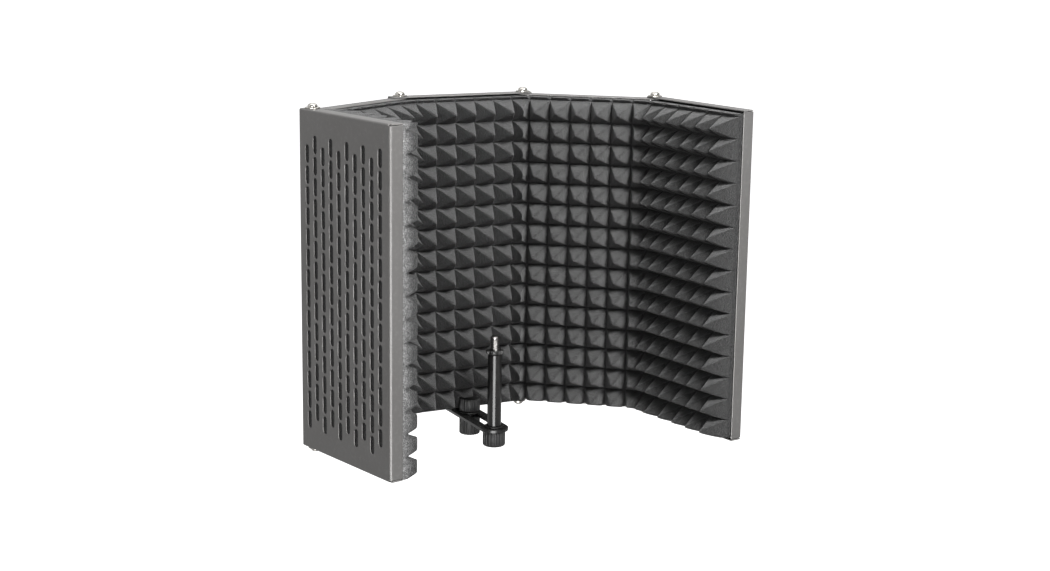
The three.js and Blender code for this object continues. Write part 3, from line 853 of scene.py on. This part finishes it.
def foam_pad(name):
    low, high, low_end, high_end, _ = PANELS[name]
    xs, across, zs, up = pad_grid(name)
    depth, share = pad_depths(name, xs, across, zs, up)
    rim = rim_indices(len(zs), len(xs))
    grid_x, grid_z = (g.ravel() for g in np.meshgrid(xs, zs))
    front = np.stack([grid_x, -depth.ravel(), grid_z], 1)

    def ring(margins, z_margin, y):
        limits = [low + margins[low_end], high - margins[high_end]]
        x = np.interp(grid_x[rim], [xs[0], xs[-1]], limits)
        z = np.interp(grid_z[rim], [zs[0], zs[-1]], [z_margin, PANEL_HEIGHT - z_margin])
        return np.stack([x, np.full(len(rim), y), z], 1)

    lip_y = RIM_Y - FOAM_GAP
    rings = [np.stack([grid_x[rim], np.full(len(rim), lip_y), grid_z[rim]], 1),
             ring(SIDE_MARGINS, FOAM_EDGE + HAIR, lip_y + 2 * HAIR),
             ring(SIDE_MARGINS, FOAM_EDGE + HAIR, BACK_STRIP_Y),
             ring(BACK_MARGINS, FOAM_EDGE, BACK_STRIP_Y + HAIR),
             ring(BACK_MARGINS, FOAM_EDGE, FOAM_BACK_Y)]
    points = np.concatenate([front, *rings])
    around, begin = len(rim), len(front)
    faces = grid_faces(across, up)
    faces += [(rim[k], rim[(k + 1) % around], begin + (k + 1) % around, begin + k)
              for k in range(around)]
    for step in range(len(rings) - 1):
        faces += ring_faces(begin + step * around, begin + (step + 1) * around, around)
    faces.append(tuple(begin + (len(rings) - 1) * around + k for k in range(around)))
    pad = new_piece(f"{name}_pad", points, faces, [FOAM], panel_place(name), FOAM_CREASE)
    hidden = (len(rings) - 2) * around
    tones = pad_tones(share, grid_x, grid_z, rim, low_end == "free", hidden)
    finish_piece(pad, BODIES[name], "acoustic_foam", f"{name}_foam")
    return finish_foam(pad, tones)


def in_plan(name, x, depth):
    """A point of a panel seen from above, in millimetres of the shared frame."""
    point = panel_place(name) @ (Vector((x, -depth, 0)) * MM)
    return np.array(point[:2]) / MM


def panel_axes(name):
    """A panel's own x and the way its foam faces, seen from above."""
    turn = math.radians(TURNS[name])
    return np.array([math.cos(turn), math.sin(turn)]), np.array([math.sin(turn), -math.cos(turn)])


def strip_path(hinge):
    """The way a strip goes in plan, from one pad's last valley to the next pad's first."""
    _, (first, x_first), (second, x_second) = STRIPS[hinge]
    start, stop = in_plan(first, x_first, VALLEY_DEPTH), in_plan(second, x_second, VALLEY_DEPTH)
    along, beyond = panel_axes(first)[0], panel_axes(second)[0]
    before, after = np.linalg.solve(np.stack([along, beyond], 1), stop - start)
    corner = start + before * along
    enter = corner - min(before, STRIP_BEND) * along
    leave = corner + min(after, STRIP_BEND) * beyond
    t = np.linspace(0, 1, STRIP_STEPS)[:, None]
    bend = (1 - t) ** 2 * enter + 2 * t * (1 - t) * corner + t ** 2 * leave
    return np.concatenate([[start], bend, [stop]])


def hinge_strip(hinge):
    """The foam that carries on over a hinge, bent round it as the panels stand at rest."""
    count, (first, _), (second, _) = STRIPS[hinge]
    path = strip_path(hinge)
    face, next_face = panel_axes(first)[1], panel_axes(second)[1]
    travelled = np.append(0, np.cumsum(np.linalg.norm(np.diff(path, axis=0), axis=1)))
    length = travelled[-1]
    cells = even_cells(0, length / count, count)
    ws, across = within(*cells_along(cells), STRIP_GAP, length - STRIP_GAP)
    zs, up = rows_up(FOAM_EDGE, PANEL_HEIGHT - FOAM_EDGE)
    line = np.stack([np.interp(ws, travelled, path[:, k]) for k in (0, 1)], 1)
    share_along = (ws / length)[:, None]
    facing = (1 - share_along) * face + share_along * next_face
    facing /= np.linalg.norm(facing, axis=1)[:, None]
    share = pyramids(across, up)
    height = PYRAMID * share * unevenness(hinge, ws / length * count, zs)
    height -= STRIP_FALL * edge_fall(zs)[:, None]

    def sheet(heights):
        plan = line[None, :, :] + heights[:, :, None] * facing[None, :, :]
        levels = np.broadcast_to((zs + PANEL_LOW_M / MM)[:, None, None], (*heights.shape, 1))
        return np.concatenate([plan, levels], 2).reshape(-1, 3)

    points = np.concatenate([sheet(height), sheet(np.full(height.shape, -STRIP_BACK))])
    half = height.size
    front = grid_faces(across, up)
    rim = rim_indices(len(zs), len(ws))
    faces = front + [tuple(half + k for k in reversed(face)) for face in front]
    faces += [(rim[k - 1], rim[k], half + rim[k], half + rim[k - 1]) for k in range(len(rim))]
    strip = new_piece(f"{hinge}_hinge_foam", points, faces, [FOAM], None, FOAM_CREASE)
    # Painted shade: the strip's back is dark. Its front is paler at the tips as painted highlight.
    tones = np.full(len(points), BACK_PAINTED_SHADE)
    tones[:half] = np.clip(share.ravel(), 0, 1)
    finish_foam(strip, tones)
    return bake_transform(strip)


# ---- Hinge hardware ---------------------------------------------------------------------

SCREW_HEAD = 3.3
SCREW_SHANK = 2
# The body that carries each hinge's screws and washers.
HINGE_BODIES = {
    "left_outer": "left_end_panel",
    "left_inner": "shield",
    "right_inner": "shield",
    "right_outer": "right_end_panel",
}


def hinge_screw(name, body, node, upward):
    """The domed head and shank of a hinge screw, over its CAD node."""
    x, y, low, high, radius = span(node)
    tall = high - low
    rise = 0.72 * SCREW_HEAD
    steps = [k * math.pi / 2 / 10 for k in range(1, 10)]
    dome = [(radius * math.cos(a) ** 0.9, tall - rise + rise * math.sin(a)) for a in steps]
    seat = tall - SCREW_HEAD
    rings = [(0, 0), (SCREW_SHANK - 0.4, 0), (SCREW_SHANK, 0.4), (SCREW_SHANK, seat),
             (radius - 0.25, seat), (radius, seat + 0.25), (radius, tall - rise),
             *dome, (0, tall)]
    place = at(x, y, low)
    if not upward:
        place = at(x, y, high) @ Matrix.Rotation(math.pi, 4, "X")
    screw = turned(name, rings, place, NICKEL, 48, crease=40)
    return finish_piece(screw, body, "nickel", node)


def washer(name, body, node, bore, material, slot, edge=0.2):
    x, y, low, high, radius = span(node)
    rings = [(bore, low), (radius - edge, low), (radius, low + edge), (radius, high - edge),
             (radius - edge, high), (bore + edge, high), (bore, high - edge)]
    piece = turned(name, [(r, z - low) for r, z in rings], at(x, y, low), material, 72, True)
    return finish_piece(piece, body, slot, node)


def hinge_hardware():
    for hinge, body in HINGE_BODIES.items():
        for end in ("top", "bottom"):
            node = f"{hinge}_hinge_{end}"
            hinge_screw(f"{node}_domed_screw", body, f"{node}_screw", end == "top")
            washer(f"{node}_flat_washer", body, f"{node}_washer", PIVOT_HOLE, NICKEL, "nickel")


# ---- Arm, post and adapter --------------------------------------------------------------

ARM_SLOT_RADIUS = 4.75
RIVET_HOLE = 2.2
BOLT_HOLE = 3.3
KNOB_POCKET = 6.3
KNOB_RIBS = 20
KNOB_POINTS = 240
RIB_DEPTH = 0.7


def ribs_within(radius, count=KNOB_RIBS, usual_depth=RIB_DEPTH):
    """A function for one part's ribbed rings, which are given how far in they lie."""
    def ribs(inset, depth=usual_depth):
        return ribbed(radius - inset, depth, count, KNOB_POINTS)

    return ribs


def arc(x, y, radius, start, stop, count):
    angles = np.radians(np.linspace(start, stop, count))
    return [(x + radius * math.cos(a), y + radius * math.sin(a)) for a in angles]


def arm():
    low, high = (Vector(corner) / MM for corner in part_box("arm_plate"))
    half = high.x
    front = low.y + half
    corner = 2.5
    outline = arc(half - corner, high.y - corner, corner, 0, 90, 6)
    outline += arc(-half + corner, high.y - corner, corner, 90, 180, 6)
    outline += arc(0, front, half, 180, 360, 48)
    slot = arc(0, 0, ARM_SLOT_RADIUS, 180, 0, 24) + arc(0, front, ARM_SLOT_RADIUS, 0, -180, 24)
    holes = [slot] + [round_hole(x, ADAPTER_Y + RIVET_Y, RIVET_HOLE) for x in RIVETS]

    def mapping(flat, depth):
        return np.stack([flat[:, 0], flat[:, 1], np.full(len(flat), high.z - low.z - depth)], 1)

    plate = thick_sheet("arm_slotted_plate", [outline, *holes], [], mapping,
                        [BLACK_METAL, BLACK_METAL], at(0, 0, low.z), high.z - low.z)
    finish_piece(plate, "shield", "black_metal", "arm_plate")


def rivet(side):
    x, y, low, high, radius = span(f"arm_{side}_rivet")
    tall = high - low
    shank, head = 1.9, 1.1
    rings = [(0, 0), (0.55 * radius, 0.02), (0.8 * radius, 0.2), (radius, 0.75),
             (radius, head), (shank, head), (shank, tall - head), (radius, tall - head),
             (radius, tall - 0.7), (0.8 * radius, tall - 0.15), (0.5 * radius, tall), (0, tall)]
    piece = turned(f"arm_{side}_domed_rivet", rings, at(x, y, low), BLACK_METAL, 40)
    finish_piece(piece, "shield", "black_metal", f"arm_{side}_rivet")


def hand_knob(name, body, node, upside_down):
    """A ribbed knob with a recessed cap and a blind hole for its insert."""
    x, y, low, high, radius = span(node)
    tall = high - low
    ribs = ribs_within(radius)
    outer = [(KNOB_POCKET, 0), (radius - 2.2, 0), (ribs(1.3, 0.2), 0), (ribs(0.9, 0.3), 0.25),
             (ribs(0.25), 0.9), (ribs(0), 1.6), (ribs(0), tall - 1.8), (ribs(0.3), tall - 0.9),
             (ribs(0.9, 0.35), tall - 0.25), (ribs(1.5, 0.1), tall), (radius - 2.6, tall),
             (radius - 3.1, tall - 0.45), (radius - 3.4, tall - 0.5), (0, tall - 0.5)]
    pocket = [(0, 0.8 * tall), (KNOB_POCKET, 0.8 * tall)]
    points, faces = rings_mesh(outer, False, KNOB_POINTS)
    more, inner_faces = rings_mesh(pocket, False, KNOB_POINTS)
    offset = len(points)
    faces += [tuple(offset + k for k in face) for face in inner_faces]
    faces += ring_faces(offset + 1, 0, KNOB_POINTS)
    place = at(x, y, low)
    if upside_down:
        place = at(x, y, high) @ Matrix.Rotation(math.pi, 4, "X")
    piece = new_piece(name, points + more, faces, [PLASTIC], place, 38)
    finish_piece(piece, body, "black_plastic", node)


def socket():
    """The adapter's ribbed cup, with a bolt hole above and the stand's thread in its bore."""
    x, y, low, high, radius = span("stand_socket")
    bore, web, pitch, thread_depth = 7.9, 3.2, 1.5, 0.7
    top = high - low
    ribs = ribs_within(radius)
    rings = [(bore + 0.9, 0), (ribs(0.7, 0.5), 0), (ribs(0.15), 0.5), (ribs(0), 1.2),
             (ribs(0), top - 2.6), (ribs(0.3, 0.35), top - 1.9), (radius - 0.6, top - 1.5),
             (radius - 0.6, top - 0.4), (radius - 1, top), (BOLT_HOLE, top),
             (BOLT_HOLE, top - web)]
    levels = np.arange(top - web - 1.2, 1.0, -pitch / 8)
    rings += [(bore, top - web), (bore, top - web - 1.0)]
    rings += [(threaded(bore, thread_depth, pitch, z, KNOB_POINTS), z) for z in levels]
    rings += [(bore, 0.7)]
    piece = turned("stand_socket_cup", rings, at(x, y, low), PLASTIC, KNOB_POINTS, True, 38)
    finish_piece(piece, "stand_adapter", "black_plastic", "stand_socket")


def post():
    """The microphone post: a round rod with a clip thread on top and a stud below."""
    x, y, low, high, radius = span("post_rod")
    foot = span("post_washer")[3] + 0.3 - low
    shoulder = span("post_lock_ring")[2] - 0.3 - low
    tip = high - low
    count = 96
    major, depth, pitch, stud = 4.7, 0.55, 1.5875, 3.0
    rings = [(0, 0), (stud - 0.5, 0), (stud, 0.5), (stud, foot), (radius - 0.5, foot),
             (radius, foot + 0.5), (radius, shoulder - 0.6), (radius - 0.6, shoulder),
             (major - 0.3, shoulder), (major - depth, shoulder + 0.4),
             (major - depth, shoulder + 1.2)]
    groove = tip - 2.6
    for z in np.arange(shoulder + 1.2 + pitch / 8, groove - 0.4, pitch / 8):
        rings.append((threaded(major, depth, pitch, z, count), z))
    rings += [(major - depth, groove - 0.3), (major - depth - 0.1, groove + 0.3),
              (major - 0.15, groove + 0.6), (major - 0.15, tip - 0.9), (major - 1, tip - 0.1),
              (major - 1.3, tip), (0, tip)]
    piece = turned("post_round_rod", rings, at(x, y, low), BLACK_GLOSS, count, crease=32)
    piece.data.materials.append(STEEL)
    for face in piece.data.polygons:
        face.material_index = int(face.center.z > (shoulder + 0.5) * MM)
    finish_piece(piece, "mic_post", "black_metal", "post_rod")


def lock_ring():
    x, y, low, high, radius = span("post_lock_ring")
    tall = high - low
    bore = 5.0
    ribs = ribs_within(radius, 28, 0.45)
    rings = [(bore + 0.3, 0), (ribs(0.9, 0.1), 0), (ribs(0.1), 0.6), (ribs(0), 1.0),
             (ribs(0), tall - 1.0), (ribs(0.1), tall - 0.6), (ribs(0.9, 0.1), tall),
             (bore + 0.4, tall), (bore, tall - 0.4), (bore, 0.3)]
    piece = turned("post_knurled_ring", rings, at(x, y, low), BLACK_METAL, KNOB_POINTS, True)
    finish_piece(piece, "lock_ring", "black_metal", "post_lock_ring")


def bracket():
    arm()
    rivet("left")
    rivet("right")
    socket()
    post()
    lock_ring()
    hand_knob("clamp_ribbed_knob", "clamp_knob", "clamp_knob", False)
    hand_knob("post_ribbed_knob", "post_knob", "post_knob", True)
    for name, body, node, edge in (("clamp_thick_washer", "clamp_knob", "clamp_washer", 0.35),
                                   ("post_thin_washer", "mic_post", "post_washer", 0.3)):
        washer(name, body, node, BOLT_HOLE, BLACK_GLOSS, "black_metal", edge)


# ---- Kept CAD nodes ---------------------------------------------------------------------


def dress(node, material):
    """A procedural material for a CAD node whose shape is kept."""
    slots = frame["nodes"][node].data.materials
    slots.clear()
    slots.append(material)


def dress_cad_nodes():
    for hinge in HINGE_BODIES:
        for end in ("top", "bottom"):
            dress(f"{hinge}_hinge_{end}_nut", NICKEL)
    dress("clamp_bolt", NICKEL)
    dress("clamp_bush", PLASTIC)
    dress("post_bush", PLASTIC)
    dress("clamp_knob_insert", BRASS)
    dress("post_knob_insert", BRASS)


# ---- Floor and light --------------------------------------------------------------------


def add_floor():
    """A pale floor well below the object, which neither shades nor colours it."""
    mesh = bpy.data.meshes.new("floor")
    reach_m, level_m = 30.0, -0.6
    corners = [(x * reach_m, y * reach_m, level_m) for x, y in ((-1, -1), (1, -1), (1, 1), (-1, 1))]
    mesh.from_pydata(corners, [], [(0, 1, 2, 3)])
    n = Nodes("pale_floor", Roughness=0.9, Emission_Strength=0.75)
    n.shader.inputs["Emission Color"].default_value = (1, 1, 1, 1)
    tone = n.ramp(n.noise(0.4, 2), (0.3, grey(0.93)), (0.7, grey(0.95)))
    mesh.materials.append(n.use(Base_Color=tone))
    floor = bpy.data.objects.new("floor", mesh)
    bpy.context.scene.collection.objects.link(floor)
    floor.visible_diffuse = False
    floor.visible_glossy = False


# The world's light at two values of a direction's y, and of its z, as (value, strength).
WORLD_FRONT = (-0.1, 0.38)
WORLD_BACK = (0.7, 0.7)
WORLD_BELOW = (-0.3, 0.9)
WORLD_ABOVE = (0.05, 1.0)


def add_world():
    """White to the camera; as a light, dimmer in front of the object and slightly so below."""
    world = bpy.data.worlds.new("studio")
    world.use_nodes = True
    tree = world.node_tree
    background = tree.nodes["Background"]
    background.inputs["Color"].default_value = (1, 1, 1, 1)

    def spread(value, low, high):
        node = tree.nodes.new("ShaderNodeMapRange")
        tree.links.new(value, node.inputs["Value"])
        for end, limits in (("Min", low), ("Max", high)):
            node.inputs[f"From {end}"].default_value = limits[0]
            node.inputs[f"To {end}"].default_value = limits[1]
        return node

    way = tree.nodes.new("ShaderNodeSeparateXYZ")
    tree.links.new(tree.nodes.new("ShaderNodeTexCoord").outputs["Generated"], way.inputs[0])
    behind = spread(way.outputs["Y"], WORLD_FRONT, WORLD_BACK)
    above = spread(way.outputs["Z"], WORLD_BELOW, WORLD_ABOVE)
    both = tree.nodes.new("ShaderNodeMath")
    both.operation = "MULTIPLY"
    tree.links.new(behind.outputs["Result"], both.inputs[0])
    tree.links.new(above.outputs["Result"], both.inputs[1])
    light_path = tree.nodes.new("ShaderNodeLightPath")
    seen = spread(light_path.outputs["Is Camera Ray"], (0, 0), (1, 1))
    tree.links.new(both.outputs[0], seen.inputs["To Min"])
    tree.links.new(seen.outputs["Result"], background.inputs["Strength"])
    bpy.context.scene.world = world


def add_area(name, place_m, target_m, size_m, power):
    data = bpy.data.lights.new(name, "AREA")
    data.shape = "RECTANGLE"
    data.size, data.size_y = size_m
    data.energy = power
    lamp = bpy.data.objects.new(name, data)
    lamp.visible_camera = False
    bpy.context.scene.collection.objects.link(lamp)
    aim = Vector(target_m) - Vector(place_m)
    turn = aim.to_track_quat("-Z", "Y").to_matrix().to_4x4()
    lamp.matrix_world = Matrix.Translation(place_m) @ turn
    return lamp


def light_scene():
    add_floor()
    add_world()
    add_area("front_softbox", (0.1, -1.35, 1.05), (0, 0, 0.2), (0.5, 0.5), 36)
    add_area("top_softbox", (0.1, 0.1, 1.6), (0, 0, 0.2), (1.6, 1.6), 12)
    add_area("side_softbox", (-2.0, 0.1, 0.6), (-0.2, -0.1, 0.15), (0.5, 0.7), 2)
    streak = add_area("streak_light", (-0.9, -1.5, -0.25), (0, 0, 0.1), (1.1, 1.0), 34)
    streak.visible_diffuse = False
    view = bpy.context.scene.view_settings
    view.view_transform = "Standard"
    view.look = "None"


# ---- Assembly ---------------------------------------------------------------------------

light_scene()
for panel in PANELS:
    tray_shell(panel)
    foam_pad(panel)
for hinge in STRIPS:
    hinge_strip(hinge)
hinge_hardware()
bracket()
dress_cad_nodes()
